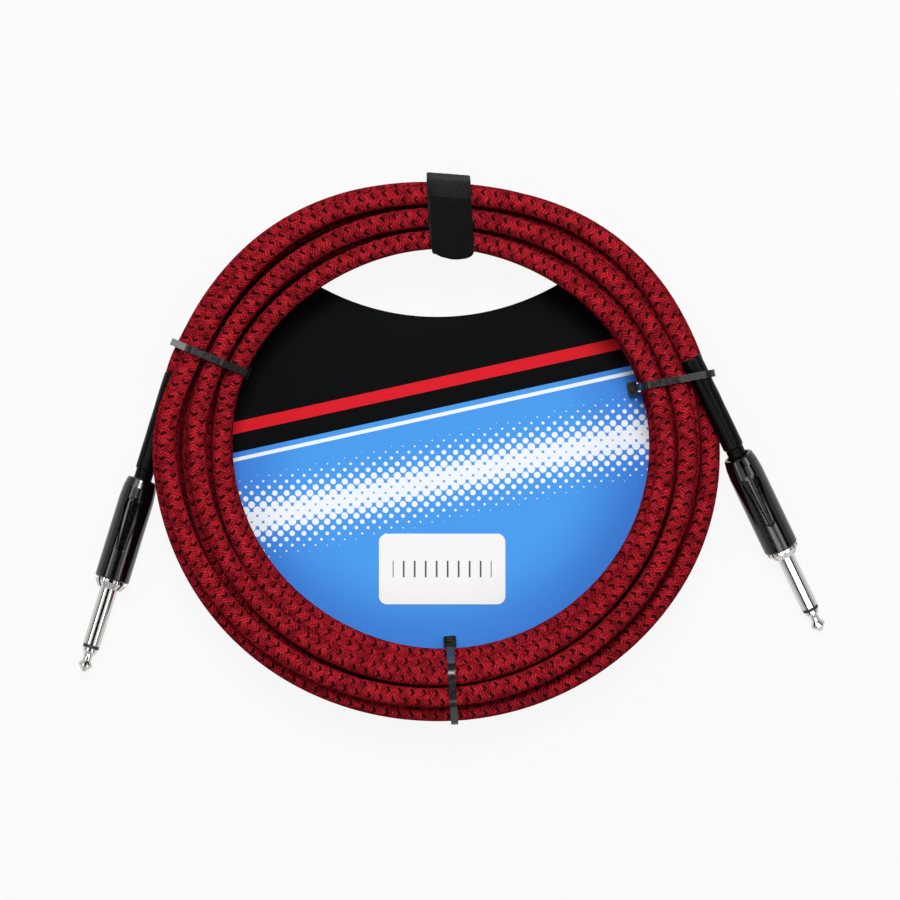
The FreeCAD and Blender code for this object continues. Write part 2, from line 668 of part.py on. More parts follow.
def grip_cutter():
    """One teardrop recess with two ribs that run together towards the plug's front."""
    gap = GRIP_FRONT_AT - GRIP_REAR_AT
    lean = acos((GRIP_REAR_R - GRIP_FRONT_R) / gap)
    far = SHELL_R + 1

    def rim(centre, radius, angle, sign):
        return V(far, sign * radius * sin(angle), centre + radius * cos(angle))

    rear = [rim(GRIP_REAR_AT, GRIP_REAR_R, lean, 1), V(far, 0, GRIP_REAR_AT - GRIP_REAR_R),
            rim(GRIP_REAR_AT, GRIP_REAR_R, lean, -1)]
    front = [rim(GRIP_FRONT_AT, GRIP_FRONT_R, lean, -1), V(far, 0, GRIP_FRONT_AT + GRIP_FRONT_R),
             rim(GRIP_FRONT_AT, GRIP_FRONT_R, lean, 1)]
    outline = Part.Wire([Part.Arc(*rear).toShape(), Part.LineSegment(rear[2], front[0]).toShape(),
                         Part.Arc(*front).toShape(), Part.LineSegment(front[2], rear[0]).toShape()])
    drop = Part.Face(outline).extrude(V(-far, 0, 0))
    floor = SHELL_R - GRIP_DEPTH
    cutter = drop.cut(Part.makeCylinder(floor, SHELL_LEN))
    ribs = []
    for sign in (-1, 1):
        wide, near = sign * RIB_REAR_AT, sign * RIB_FRONT_AT
        low, high = GRIP_REAR_AT - GRIP_REAR_R / 2, GRIP_FRONT_AT + GRIP_FRONT_R + 1
        corners = [V(0, wide - RIB_REAR_WIDTH / 2, low), V(0, wide + RIB_REAR_WIDTH / 2, low),
                   V(0, near + RIB_FRONT_WIDTH / 2, high), V(0, near - RIB_FRONT_WIDTH / 2, high)]
        strip = Part.Face(Part.makePolygon(corners + corners[:1]))
        ribs.append(strip.extrude(V(floor + GRIP_RIB, 0, 0)))
    return cutter.cut(ribs)


def shell():
    """The screw-on shell: bored from the front, a narrow bore behind for the cable, three grips."""
    body = turned(
        (SHELL_REAR_BORE, 0), (SHELL_REAR_R - SHELL_EDGE, 0), (SHELL_REAR_R, SHELL_EDGE),
        (SHELL_R - SHELL_REAR_SLIM * 0.35, SHELL_FLARE * 0.45), (SHELL_R, SHELL_FLARE),
        (SHELL_R, SHELL_LEN - SHELL_EDGE),
        (SHELL_FRONT_R, SHELL_LEN), (SHELL_BORE, SHELL_LEN), (SHELL_BORE, SHELL_SHOULDER),
        (SHELL_REAR_BORE, SHELL_SHOULDER))
    cutter = grip_cutter()
    cutters = []
    for i in range(GRIPS):
        grip = cutter.copy()
        grip.rotate(V(0, 0, 0), V(0, 0, 1), 360 / GRIPS * i)
        cutters.append(grip)
    return body.cut(cutters)


def plug_placement(route):
    """Sets a plug's own frame at the end of a route, in line with its last run, with +X upward."""
    axis = (route[-1] - route[-2]).normalize()
    level = axis.cross(V(0, 0, 1)).normalize()
    up = level.cross(axis)
    matrix = FreeCAD.Matrix(
        up.x, level.x, axis.x, route[-1].x,
        up.y, level.y, axis.y, route[-1].y,
        up.z, level.z, axis.z, route[-1].z,
        0, 0, 0, 1)
    return FreeCAD.Placement(matrix)


def plug_pieces():
    pieces = {
        "tip_contact": tip_contact(),
        "tip_insulator": tip_insulator(),
        "sleeve": sleeve(),
        "collar": collar(),
        "clamp_lug": clamp_lug(),
        "rear_washer": rear_washer(),
        "tip_lug": tip_lug(),
        "liner": liner(),
        "jacket": jacket(),
        "core": core(),
        "screen": screen(),
        "shell": shell(),
    }
    pieces["solder"] = solder(pieces["core"], pieces["screen"], pieces["tip_lug"], pieces["clamp_lug"])
    return pieces


def lead_and_shrink(route):
    """The braided lead inside its heat-shrink tube, from the coil's end to just behind the shell."""
    rear = route[-1]
    whole, radii = eased_path(route)
    for radius in radii:
        print("route radius", round(radius, 1), "mm,", round(radius / CABLE_D, 1), "diameters")
    lead = swept(trimmed(whole, rear, BRAID_END), CABLE_R, flat_sided_section)
    covered = trimmed(whole, rear, SHRINK_START)
    cover = swept(covered, SHRINK_R, shrink_section).cut(swept(covered, SHRINK_BORE, shrink_section))
    length = sum(e.Length for e in whole)
    print("lead", round(length, 1), "mm, volume over section times length",
          round(lead.Volume / (section_area(CABLE_R) * (length - BRAID_END)), 4))
    return lead, cover


def trimmed(edges, end, short):
    """The path without its last stretch."""
    last = edges[-1]
    start = last.valueAt(last.FirstParameter)
    return edges[:-1] + [Part.LineSegment(start, along(end, start, short)).toShape()]


def save(name, shape):
    solids = shape.Solids
    if not shape.isValid() or not solids:
        print("WARNING", name, "valid", shape.isValid(), "solids", len(solids))
    out = solids[0] if len(solids) == 1 else Part.makeCompound(solids)
    out.exportStep("parts/" + name + ".step")
    ALL[name] = out


ALL = {}
os.makedirs("parts", exist_ok=True)

# Cable
COIL_PATH = coil_edges()
SPACING = 1.5
STRANDS = sampled(COIL_PATH, SPACING)
COIL_LEN = sum(edge.Length for edge in COIL_PATH)
coil = swept(COIL_PATH, CORNER_SHARE * CABLE_R, flat_sided_section)
print("coil", round(TURNS, 2), "turns,", round(COIL_LEN / 1000, 3), "m, least gap to itself",
      round(least_gap_to_itself(STRANDS, SPACING), 2), "mm, volume over section times length",
      round(coil.Volume / (section_area(CORNER_SHARE * CABLE_R) * COIL_LEN), 4))
save("cable_coil", coil)
for side, route in (("left", LEFT), ("right", RIGHT)):
    lead, cover = lead_and_shrink(route)
    save("lead_" + side, lead)
    save("heat_shrink_" + side, cover)

# Plugs
PLUG = plug_pieces()
for side, route in (("left", LEFT), ("right", RIGHT)):
    placement = plug_placement(route)
    for name, shape in PLUG.items():
        placed = shape.copy()
        placed.Placement = placement.multiply(placed.Placement)
        save(name + "_" + side, placed)

# Bands
slots = []
for name, (x, y, angle) in TIES.items():
    frame = band_frame(x, y, angle)
    extra = []
    if name == "tie_right":
        tube = sampled(eased_path(RIGHT)[0], 0.5)
        run = (RIGHT[1] - RIGHT[0]).normalize()
        wider = SHRINK_R / abs(run.dot(frame[2])) - CABLE_R
        for offset in (-TIE_WIDTH / 2, TIE_WIDTH / 2):
            for a, z in crossings(tube, frame, offset):
                extra += [(a - wider, z), (a + wider, z), (a, z + SHRINK_R - CABLE_R)]
    corners = hull(lowered(bundle_section(frame, TIE_WIDTH, extra), TIE_THICK))
    save(name, tie(corners, frame))
    slots.append(card_slot(corners, frame))
strap_frame = band_frame(*STRAP_AT)
strap_corners = hull(lowered(bundle_section(strap_frame, STRAP_WIDTH, []), STRAP_THICK))
save("strap", band(strap_corners, strap_frame, STRAP_WIDTH, STRAP_THICK))
save("strap_tongue", tongue(strap_corners, strap_frame))

# Card
save("insert_card", card(slots))
save("card_label", label())

low = V(1e9, 1e9, 1e9)
high = V(-1e9, -1e9, -1e9)
for name, shape in ALL.items():
    if name in ("cable_coil", "lead_left", "lead_right"):
        continue
    box = shape.BoundBox
    low = V(min(low.x, box.XMin), min(low.y, box.YMin), min(low.z, box.ZMin))
    high = V(max(high.x, box.XMax), max(high.y, box.YMax), max(high.z, box.ZMax))
print("all but the cable: from", [round(c, 2) for c in low], "to", [round(c, 2) for c in high])
print("middle", round((low.x + high.x) / 2, 2), round((low.y + high.y) / 2, 2))
print("volumes", {n: round(s.Volume, 1) for n, s in ALL.items()})
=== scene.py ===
# %% [markdown]
# # An instrument cable, wound up and laid flat
#
# Nearly six metres of braided cable lie in a flat coil. Each end has a straight 6.35 mm plug. Three nylon
# ties and a hook-and-loop strap hold the coil, and the ties also hold a printed card that shows in its
# middle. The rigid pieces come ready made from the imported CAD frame. This script gives them their
# finishes, and models the soft things itself: the braided cable, the heat-shrink tubes and the strap.

import bpy
from math import atan2, ceil, cos, degrees, hypot, pi, radians, sin
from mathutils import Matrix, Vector, noise


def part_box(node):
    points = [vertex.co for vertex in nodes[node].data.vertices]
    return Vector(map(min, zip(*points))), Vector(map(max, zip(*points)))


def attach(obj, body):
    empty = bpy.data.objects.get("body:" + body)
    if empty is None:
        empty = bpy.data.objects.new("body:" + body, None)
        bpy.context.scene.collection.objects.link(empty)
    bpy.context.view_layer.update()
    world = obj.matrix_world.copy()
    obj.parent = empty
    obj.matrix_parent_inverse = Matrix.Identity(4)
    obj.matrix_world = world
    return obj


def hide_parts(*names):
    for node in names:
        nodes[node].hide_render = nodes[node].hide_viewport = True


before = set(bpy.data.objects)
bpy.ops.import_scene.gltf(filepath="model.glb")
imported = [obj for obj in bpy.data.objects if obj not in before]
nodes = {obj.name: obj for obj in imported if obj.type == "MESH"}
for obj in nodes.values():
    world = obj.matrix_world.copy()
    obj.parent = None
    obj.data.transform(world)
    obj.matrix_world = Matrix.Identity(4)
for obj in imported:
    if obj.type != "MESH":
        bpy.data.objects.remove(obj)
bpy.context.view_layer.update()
MM = 0.001
SIDES = ("left", "right")

# %% [markdown]
# ## The camera
#
# The photograph looks straight down from far away, with its top towards +Y, so the nearest strands are
# hardly larger than the plugs on the table. A long lens far above gives the same flat look. One
# millimetre of the object is 2.76 pixels wide in a frame of 900 by 900, and that fixes the lens once the
# distance is chosen.

# %% Camera
PIXELS_PER_MM = 2.76
PICTURE_WIDTH = 900
SENSOR_WIDTH = 36            # in mm
CAMERA_HEIGHT = 2.2
MEASURED_HEIGHT = 0.012      # the level at which the scale was read, about that of the plugs
CAMERA_X, CAMERA_Y = -0.00115, 0.00022    # the middle of the picture

camera_data = bpy.data.cameras.new("straight_down")
camera_data.sensor_width = SENSOR_WIDTH
seen_width = PICTURE_WIDTH / PIXELS_PER_MM * MM
camera_data.lens = camera_data.sensor_width * (CAMERA_HEIGHT - MEASURED_HEIGHT) / seen_width
camera = bpy.data.objects.new("straight_down", camera_data)
camera.location = (CAMERA_X, CAMERA_Y, CAMERA_HEIGHT)
bpy.context.scene.collection.objects.link(camera)
bpy.context.scene.camera = camera
print("lens", round(camera_data.lens, 1), "mm")

# %% [markdown]
# ## The cable's route
#
# A cable that is wound by hand lies in layers: it spirals in, climbs on itself, and spirals out again.
# The route is one smooth NURBS curve. Its loops come from a formula, with 24 control points to a turn,
# and its two leads follow a few listed points. Such a curve runs a little inside its control
# points, so the loop puts them that much further out.

# %% The sizes of the coil, in mm and degrees
CABLE_R = 3.5
STRAND_PITCH = 7.72          # from one turn to the next in a layer
LAYERS = 4
LAYER_STEP = 7.8
LOWEST_STRAND = 5.6          # the height of the lowest layer's middle
CLIMB = 0.5                  # of a turn, from one layer to the next
COIL_X, COIL_Y = -5.5, -0.5
COIL_R = 97.0                # the outermost turn's mean radius
COIL_OVAL = 1.9              # added to the radius along X and taken off along Y
FULL_TURNS = 10              # the part of a turn between the two leads comes on top
OUTER_TURN_ANGLE = -15.0     # where the spiral turns inward again
END_SPREAD = 0.8             # the last turn lies this much further in than the lead that it runs into
BRAID_END = 5.5              # the braid stops this far short of each shell
# The points that the leads follow, from the coil to the plug
LEFT_ROUTE = [(-101.0, 27.8, 5.72), (-112.8, -10.5, 6.35)]
RIGHT_ROUTE = [(85.3, 33.6, 26.9), (93.2, 17.5, 25.2), (102.7, -1.9, 19.8)]
left_route = [Vector(p) for p in LEFT_ROUTE]
right_route = [Vector(p) for p in RIGHT_ROUTE]


def along(point, toward, distance):
    return point + (toward - point).normalized() * distance


# The coil keeps one cable's width of straight run at each end
coil_start = along(right_route[0], right_route[1], -2 * CABLE_R)
coil_end = along(left_route[0], left_route[1], -2 * CABLE_R)

# %% The loops
def about_centre(point):
    x, y = point.x - COIL_X, point.y - COIL_Y
    return hypot(x, y), atan2(y, x)


start_r, start_angle = about_centre(coil_start)
end_r, end_angle = about_centre(coil_end)
turns = FULL_TURNS + (end_angle - start_angle) / (2 * pi)
first_r = start_r - COIL_OVAL * cos(2 * start_angle)
last_r = end_r - COIL_OVAL * cos(2 * end_angle) - END_SPREAD
outer_at = FULL_TURNS // 2 + (radians(OUTER_TURN_ANGLE) - start_angle) / (2 * pi)
inner_at_top = (outer_at - (COIL_R - first_r) / STRAND_PITCH) / 2
inner_at_low = (outer_at + turns - (last_r - COIL_R) / STRAND_PITCH) / 2


# Halfway between two bands the bundle is loose: its strands fan out. Each row has a band's angle round
# the coil, then how far the outermost strand bows out and the innermost sags in between there and the
# next band. The last number says where they stray most: 1 is halfway, less is nearer to the first band
BANDS = (
    (16.9, 2.9, 1.3, 1.0),      # right tie
    (87.4, 2.8, 0.9, 1.0),      # strap
    (157.5, 4.3, 1.8, 0.6),     # left tie, with the left lead under the strands
    (273.5, -0.4, 1.2, 1.0),    # bottom tie
)
SLACK_POWER = 1.5            # above 1, the bundle stays tight for longer beside a band
COIL_DEPTH = 18.0            # from the outermost turn to the innermost
LOW_LAYERS_EASE = 0.6        # the low layers sag in this much as far as the upper ones
LEAD_AT, LEAD_REACH = 176.0, 18.5    # the upper layers lie over the left lead here, in degrees
LEAD_BOW = 3.2               # and bow out this much further
WANDERS_A_TURN = 2.3         # bends of its own that a loose strand has in a turn
WANDER = 0.65                # and how far they reach at most


def looseness(angle):
    """How far out and in the strands stray at an angle round the coil, and how loose they are (0 to 1)."""
    first = BANDS[0][0]
    turned = first + (degrees(angle) - first) % 360
    ends = [band[0] for band in BANDS[1:]] + [first + 360]
    for (start, out, inward, early), end in zip(BANDS, ends):
        if turned <= end:
            slack = sin(pi * ((turned - start) / (end - start)) ** early) ** SLACK_POWER
            return out * slack, inward * slack, slack


def loop_point(s):
    """Where the cable's middle is after s turns, counted from the right lead on top."""
    if s < inner_at_top:
        r = first_r - STRAND_PITCH * s
    elif s < inner_at_low:
        r = COIL_R - STRAND_PITCH * abs(s - outer_at)
    else:
        r = last_r - STRAND_PITCH * (turns - s)
    z = LOWEST_STRAND + (LAYERS - 1) * LAYER_STEP
    for at in (inner_at_top, outer_at, inner_at_low):
        share = min(1.0, max(0.0, (s - at) / CLIMB + 0.5))
        z -= LAYER_STEP * share * share * (3 - 2 * share)      # level at both ends
    angle = start_angle + 2 * pi * s
    out, inward, slack = looseness(angle)
    if s < outer_at:
        off = (degrees(angle) % 360 - LEAD_AT) / LEAD_REACH
        out += LEAD_BOW * max(0.0, 1 - off * off) ** 2
    depth = (COIL_R - r) / COIL_DEPTH
    ease = 1.0 if s < outer_at else LOW_LAYERS_EASE
    wander = noise.noise(Vector((s * WANDERS_A_TURN, 0, 0)))
    r += out * (1 - depth) - inward * depth * ease + wander * WANDER * slack
    r += COIL_OVAL * cos(2 * angle)
    return Vector((COIL_X + r * cos(angle), COIL_Y + r * sin(angle), z))


# %% The control points
POINTS_PER_TURN = 24
bulge = 1 / cos(pi / POINTS_PER_TURN)
centre = Vector((COIL_X, COIL_Y, 0))
controls = [along(right_route[2], right_route[1], BRAID_END), right_route[1], right_route[0], coil_start]
count = round(turns * POINTS_PER_TURN)
for i in range(1, count):
    p = loop_point(i * turns / count)
    flat = Vector((p.x, p.y, 0)) - centre
    controls.append(centre + flat * bulge + Vector((0, 0, p.z)))
controls += [coil_end, left_route[0], along(left_route[1], left_route[0], BRAID_END)]
print("coil:", round(turns, 2), "turns,", len(controls), "control points")

# %% The curve, and the points read from it
LINE_STEPS = 10              # points read for each control point
route_data = bpy.data.curves.new("route", "CURVE")
route_data.dimensions = "3D"
route_data.resolution_u = LINE_STEPS
spline = route_data.splines.new("NURBS")
spline.points.add(len(controls) - 1)
for place, p in zip(spline.points, controls):
    place.co = (p.x * MM, p.y * MM, p.z * MM, 1)
spline.order_u = 3
spline.use_endpoint_u = True
route = bpy.data.objects.new("route", route_data)
route_mesh = bpy.data.meshes.new_from_object(route)
line = [v.co.copy() for v in route_mesh.vertices]
bpy.data.meshes.remove(route_mesh)
bpy.data.objects.remove(route)

# %% [markdown]
# ## Building a tube
#
# The cable and the heat-shrink tubes are made alike: a ring of points is carried along a line. Each ring
# stands square to the line. Its corners are numbered from the same side all the way, so that a pattern
# laid on the tube doesn't twist. The tube's map holds real metres: U is the distance along it, V the
# distance round it.

# %% Helpers for meshes
def new_piece(name, points, faces, uvs=None):
    """A smooth-shaded mesh object. A map, where there is one, has a pair of numbers for each face corner."""
    mesh = bpy.data.meshes.new(name)
    mesh.from_pydata([tuple(p) for p in points], [], faces)
    if uvs:
        layer = mesh.uv_layers.new(name="metres")
        for loop, uv in zip(layer.data, uvs):
            loop.uv = uv
    mesh.shade_smooth()
    piece = bpy.data.objects.new(name, mesh)
    bpy.context.scene.collection.objects.link(piece)
    return piece


def directions(points):
    """The way that a line runs at each of its points."""
    last = len(points) - 1
    return [(points[min(i + 1, last)] - points[max(i - 1, 0)]).normalized() for i in range(last + 1)]


def tube(name, points, sides, radius_at, map_radius):
    """A closed tube along points; radius_at(i, a) is its radius at point i and angle a."""
    rings, lengths = [], [0.0]
    for i, (p, way) in enumerate(zip(points, directions(points))):
        across = way.cross(Vector((0, 0, 1))).normalized()
        up = across.cross(way)
        if i:
            lengths.append(lengths[-1] + (p - points[i - 1]).length)
        for k in range(sides):
            a = 2 * pi * k / sides
            rings.append(p + (across * cos(a) + up * sin(a)) * radius_at(i, a))
    faces, uvs = [], []
    step = 2 * pi * map_radius / sides
    for i in range(len(points) - 1):
        for k in range(sides):
            m = (k + 1) % sides
            faces.append((i * sides + k, i * sides + m, (i + 1) * sides + m, (i + 1) * sides + k))
            near, far = lengths[i], lengths[i + 1]
            uvs += [(near, k * step), (near, (k + 1) * step), (far, (k + 1) * step), (far, k * step)]
    for first, order in ((0, range(sides - 1, -1, -1)), ((len(points) - 1) * sides, range(sides))):
        faces.append(tuple(first + k for k in order))
        uvs += [(0, 0)] * sides
    return new_piece(name, rings, faces, uvs)


# %% [markdown]
# ## The braided cable
#
# The braid is polyester, woven tight over the cable's PVC jacket. It replaces the plain six-sided tube
# that the frame carries for collision. It rides on the cable's body.

# %% The cable as a tube
CABLE_SIDES = 20
cable = tube("braided_cable", line, CABLE_SIDES, lambda i, a: CABLE_R * MM, CABLE_R * MM)
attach(cable, "cable")
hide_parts("cable_coil", "lead_left", "lead_right")
print("braided cable:", len(cable.data.vertices), "points")

# %% [markdown]
# ## The heat-shrink tubes
#
# A length of heat-shrink tube hides where the braid ends, just behind each plug. It follows the cable's own
# line, clings to it, and thins out at its cut ends. Shrinking never leaves it quite even, so its radius
# wanders by a few hundredths of a millimetre.

# %% Heat-shrink
SHRINK_R = 3.8
SHRINK_LENGTH = 36.6
SHRINK_START = 3.5           # it starts this far from the shell
SHRINK_STEP = 0.5            # from one ring of points to the next
SHRINK_SIDES = 32
CUT_ROUNDING = 0.35          # it is this much thinner at its cut ends
CUT_LENGTH = 0.6             # and reaches its full radius after this length
SHRINK_WANDER = 0.09         # how far its radius strays at most
WANDER_ALONG, WANDER_ROUND = 160, 0.8    # how fast it strays along the tube, to the metre, and round it


def stretch(points, length):
    """The first part of a line, up to a length along it."""
    kept, run = [points[0]], 0.0
    for a, b in zip(points, points[1:]):
        step = (b - a).length
        if run + step >= length:
            kept.append(a + (b - a) * ((length - run) / step))
            return kept
        run += step
        kept.append(b)
    return kept


def resampled(points, spacing):
    """The same line again, with points an even distance apart."""
    total = sum((b - a).length for a, b in zip(points, points[1:]))
    steps = ceil(total / spacing)
    found, run, i = [points[0]], 0.0, 0
    for n in range(1, steps):
        target = total * n / steps
        while run + (points[i + 1] - points[i]).length < target:
            run += (points[i + 1] - points[i]).length
            i += 1
        size = (points[i + 1] - points[i]).length
        found.append(points[i] + (points[i + 1] - points[i]) * ((target - run) / size))
    return found + [points[-1]]


def heat_shrink(side, from_plug, shell_back):
    """One tube; from_plug is the cable's line from the plug on, and shell_back the shell's rear end."""
    nose = shell_back + (from_plug[0] - shell_back).normalized() * SHRINK_START * MM
    covered = stretch(from_plug, (SHRINK_LENGTH - BRAID_END + SHRINK_START) * MM)
    path = resampled([nose] + covered, SHRINK_STEP * MM)
    total = len(path) - 1

    def radius(i, a):
        edge = min(i, total - i) * SHRINK_STEP
        rounding = CUT_ROUNDING * max(0.0, 1 - edge / CUT_LENGTH) ** 2
        place = path[i] * WANDER_ALONG + Vector((cos(a), sin(a), 0)) * WANDER_ROUND
        wander = noise.noise(place) * SHRINK_WANDER
        return (SHRINK_R - rounding + wander) * MM

    piece = tube("heat_shrink_tube_" + side, path, SHRINK_SIDES, radius, SHRINK_R * MM)
    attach(piece, "cable")
    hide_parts("heat_shrink_" + side)
    return piece


shrink = {
    "left": heat_shrink("left", line[::-1], left_route[1] * MM),
    "right": heat_shrink("right", line, right_route[2] * MM),
}
print("heat-shrink tubes:", [len(p.data.vertices) for p in shrink.values()], "points")

# %% [markdown]
# ## The strap
#
# The strap is woven nylon with loops brushed up from its face, and a tongue of hooks closes it. Its
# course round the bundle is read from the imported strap: seen along the cable that solid is a ring, and
# its outside is the smallest outline that holds all its corners. Cloth bands lie a little uneven, so both
# get a soft wander, rounded edges and a real thickness.

# %% The strap's course
STRAIGHT = 1e-9              # a corner that spans less than this, in square metres, is left out


def outline(points):
    """The smallest outline that holds flat points, counter-clockwise."""
    points = sorted(set(points))

    def half(sequence):
        kept = []
        for p in sequence:
            while len(kept) > 1:
                (ax, ay), (bx, by) = kept[-2], kept[-1]
                if (bx - ax) * (p[1] - ay) - (by - ay) * (p[0] - ax) > STRAIGHT:
                    break
                kept.pop()
            kept.append(p)
        return kept[:-1]

    return half(points) + half(points[::-1])


def shifted(points, out):
    """A closed flat outline moved outward by a distance."""
    moved = []
    for i, p in enumerate(points):
        before, after = points[i - 1], points[(i + 1) % len(points)]
        way = Vector((after[0] - before[0], after[1] - before[1])).normalized()
        moved.append((p[0] + way.y * out, p[1] - way.x * out))
    return moved


strap_low, strap_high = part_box("strap")
strap_mid = (strap_low.x + strap_high.x) / 2
strap_centre_y = (strap_low.y + strap_high.y) / 2
strap_outside = outline([(round(v.co.y, 6), round(v.co.z, 6)) for v in nodes["strap"].data.vertices])
print("strap outline:", len(strap_outside), "corners")

# %% [markdown]
# A band of cloth is a grid: steps along its course, and steps across its width. Each step across has a
# front and a back face, and the two are joined round the edge. The edge is rounded by drawing the faces
# together over the last 0.6 mm.

# %% A band of cloth
CLOTH_STEP = 0.6             # mm from one row of points to the next
CLOTH_ACROSS = 26            # steps across the width
EDGE_LEAST = 0.35            # the square of the share of the thickness that is left at the very edge
EDGE_SCALE = 0.9 * MM        # the full thickness is reached at 0.65 of this
BAND_WAVES, BAND_WANDER = 90, 0.12 * MM    # waves of the whole band to the metre, and their height
PILE_TUFTS = 1300            # tufts of the pile to the metre
SIDE_POWER = 3               # how fast the tuck and the slack below fade towards the bundle's middle
STRAP_HALF = 7.65 * MM
STRAP_THICK = 1.5 * MM
STRAP_SKEW = 0.07            # the strap isn't quite square to the bundle: its left edge lies further out
STRAP_LEAN = 0.045           # and it leans to the right on its way inward
STRAP_RIGHT = 0.9 * MM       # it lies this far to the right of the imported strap
STRAP_TUCK = 0.15            # it is so much narrower at the inner side, where it slips under the tongue
STRAP_ASIDE = 0.8 * MM       # its under layer also shows a little at the left of the tongue
STRAP_LOOSE = 1.3 * MM       # it stands off the coil's outer side this far


def band(name, course, closed, edges_at, thickness, nap, loose=0.0):
    """Cloth along a course of (y, z) points. edges_at(share) gives its two edges, counted from its middle,
    nap is the height of its pile, and loose is how far it stands off the coil's outer side."""
    path = [Vector((0, y, z)) for y, z in course]
    ring = path + path[:1] if closed else path
    total = sum((b - a).length for a, b in zip(ring, ring[1:]))
    path = resampled(ring, CLOTH_STEP * MM)
    if closed:
        path = path[:-1]
    rows = len(path)
    points, uvs_at = [], []
    for i, p in enumerate(path):
        ahead = path[(i + 1) % rows] if closed else path[min(i + 1, rows - 1)]
        behind = path[i - 1] if closed or i else path[0]
        way = (ahead - behind).normalized()
        out = Vector((0, way.z, -way.y))
        low, high = edges_at(i / (rows - 1))
        inward = (strap_centre_y - p.y) / (strap_high.y - strap_centre_y) if closed else 0.0
        tuck = 1 - STRAP_TUCK * max(0.0, inward) ** SIDE_POWER
        for k in range(CLOTH_ACROSS + 1):
            x = low + (high - low) * k / CLOTH_ACROSS
            edge = min(x - low, high - x)
            x *= tuck
            if not closed:
                edge = min(edge, min(i, rows - 1 - i) * CLOTH_STEP * MM)
            half = thickness / 2 * min(1.0, (EDGE_LEAST + max(edge, 0.0) / EDGE_SCALE) ** 0.5)
            place = Vector((x, p.y, p.z))
            wander = noise.noise(place * BAND_WAVES) * BAND_WANDER
            pile = noise.noise(place * PILE_TUFTS) * nap
            stand_off = loose * max(0.0, -inward) ** SIDE_POWER
            lean = STRAP_RIGHT - STRAP_LEAN * (p.y - strap_centre_y)
            middle = p + out * (wander + stand_off) + Vector((strap_mid + x + lean, -STRAP_SKEW * x, 0))
            for face in (middle + out * (half + pile), middle - out * half):
                face.z = max(face.z, 0.0)      # cloth lies on the table, not in it
                points.append(face)
            uvs_at.append((i * CLOTH_STEP * MM, x))
    faces, uvs = [], []
    stride = CLOTH_ACROSS + 1
    for i in range(rows if closed else rows - 1):
        j = (i + 1) % rows
        for k in range(CLOTH_ACROSS):
            a, b, c, d = i * stride + k, i * stride + k + 1, j * stride + k + 1, j * stride + k
            for corners in ((a * 2, d * 2, c * 2, b * 2), (a * 2 + 1, b * 2 + 1, c * 2 + 1, d * 2 + 1)):
                faces.append(corners)
                uvs += [uvs_at[n // 2] for n in corners]
        for k, flip in ((0, False), (CLOTH_ACROSS, True)):
            a, d = (i * stride + k) * 2, (j * stride + k) * 2
            corners = (a, a + 1, d + 1, d) if not flip else (a, d, d + 1, a + 1)
            faces.append(corners)
            uvs += [uvs_at[n // 2] for n in corners]
    if not closed:
        for i, flip in ((0, True), (rows - 1, False)):
            for k in range(CLOTH_ACROSS):
                a, b = (i * stride + k) * 2, (i * stride + k + 1) * 2
                corners = (a, a + 1, b + 1, b) if not flip else (a, b, b + 1, a + 1)
                faces.append(corners)
                uvs += [uvs_at[n // 2] for n in corners]
    print(name, "course", round(total * 1000, 1), "mm,", len(faces), "faces")
    return new_piece(name, points, faces, uvs)


# %% The strap's band
STRAP_NAP = 0.16 * MM
# Further out at the left, and a third as much further in at the right
strap_edges = (-STRAP_HALF - STRAP_ASIDE, STRAP_HALF - STRAP_ASIDE / 3)
strap = band("strap_band", shifted(strap_outside, -STRAP_THICK / 2), True, lambda share: strap_edges,
             STRAP_THICK, STRAP_NAP, STRAP_LOOSE)
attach(strap, "cable")
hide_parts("strap")

# %% [markdown]
# The tongue lies on the strap from its seam to the coil's inner side. Hook tape is stiff, so it doesn't
# follow the strap's turn down there: its rounded end stands out over the edge.

# %% The closing tongue
TONGUE_THICK = 1.2 * MM
TONGUE_GAP = 0.3 * MM
TONGUE_SEAM = 4.3 * MM       # from the middle of the bundle, outward
TONGUE_HALF = STRAP_HALF - 0.2 * MM      # a little narrower than the strap
TONGUE_NAP = 0.06 * MM
TONGUE_LEAVES = 0.9 * MM     # it leaves the strap where that has turned down this far
TIP_AT = 69.2                # its tip's distance from the coil's middle, in mm
TIP_FALL = 3.2 * MM          # how far it sinks from there to the tip
TIP_BEND = 1.4               # above 1, it sinks faster and faster
TIP_ROUND = 3.8 * MM         # how long its rounded end is
TIP_SQUARE = 2.4             # 2 would make that end half an ellipse; more is squarer
TIP_LEAST = 0.02             # the square of the share of its width that is left at the very tip
BUNDLE_AT = 87.0             # the bundle's middle, from the coil's middle, in mm
tip_y = (COIL_Y + TIP_AT) * MM
seam_y = (COIL_Y + BUNDLE_AT) * MM + TONGUE_SEAM
ring = shifted(strap_outside, TONGUE_GAP + TONGUE_THICK / 2)
top_z = max(z for y, z in ring)
inside = seam_y - 0.2 * MM    # a corner right at the seam would fold the cloth
course = [(seam_y, top_z)]
course += sorted((p for p in ring if p[0] < inside and p[1] > top_z - TONGUE_LEAVES), reverse=True)
leaves_y, leaves_z = course[-1]
for share in (0.35, 0.7, 1.0):
    course.append((leaves_y + (tip_y - leaves_y) * share, leaves_z - TIP_FALL * share ** TIP_BEND))
course_length = sum(hypot(b[0] - a[0], b[1] - a[1]) for a, b in zip(course, course[1:]))


def tongue_edges(share):
    """Its two edges, which round off near the tip."""
    left = course_length * (1 - share)
    half = TONGUE_HALF
    if left < TIP_ROUND:
        half *= max(TIP_LEAST, 1 - (1 - left / TIP_ROUND) ** TIP_SQUARE) ** 0.5
    return -half, half


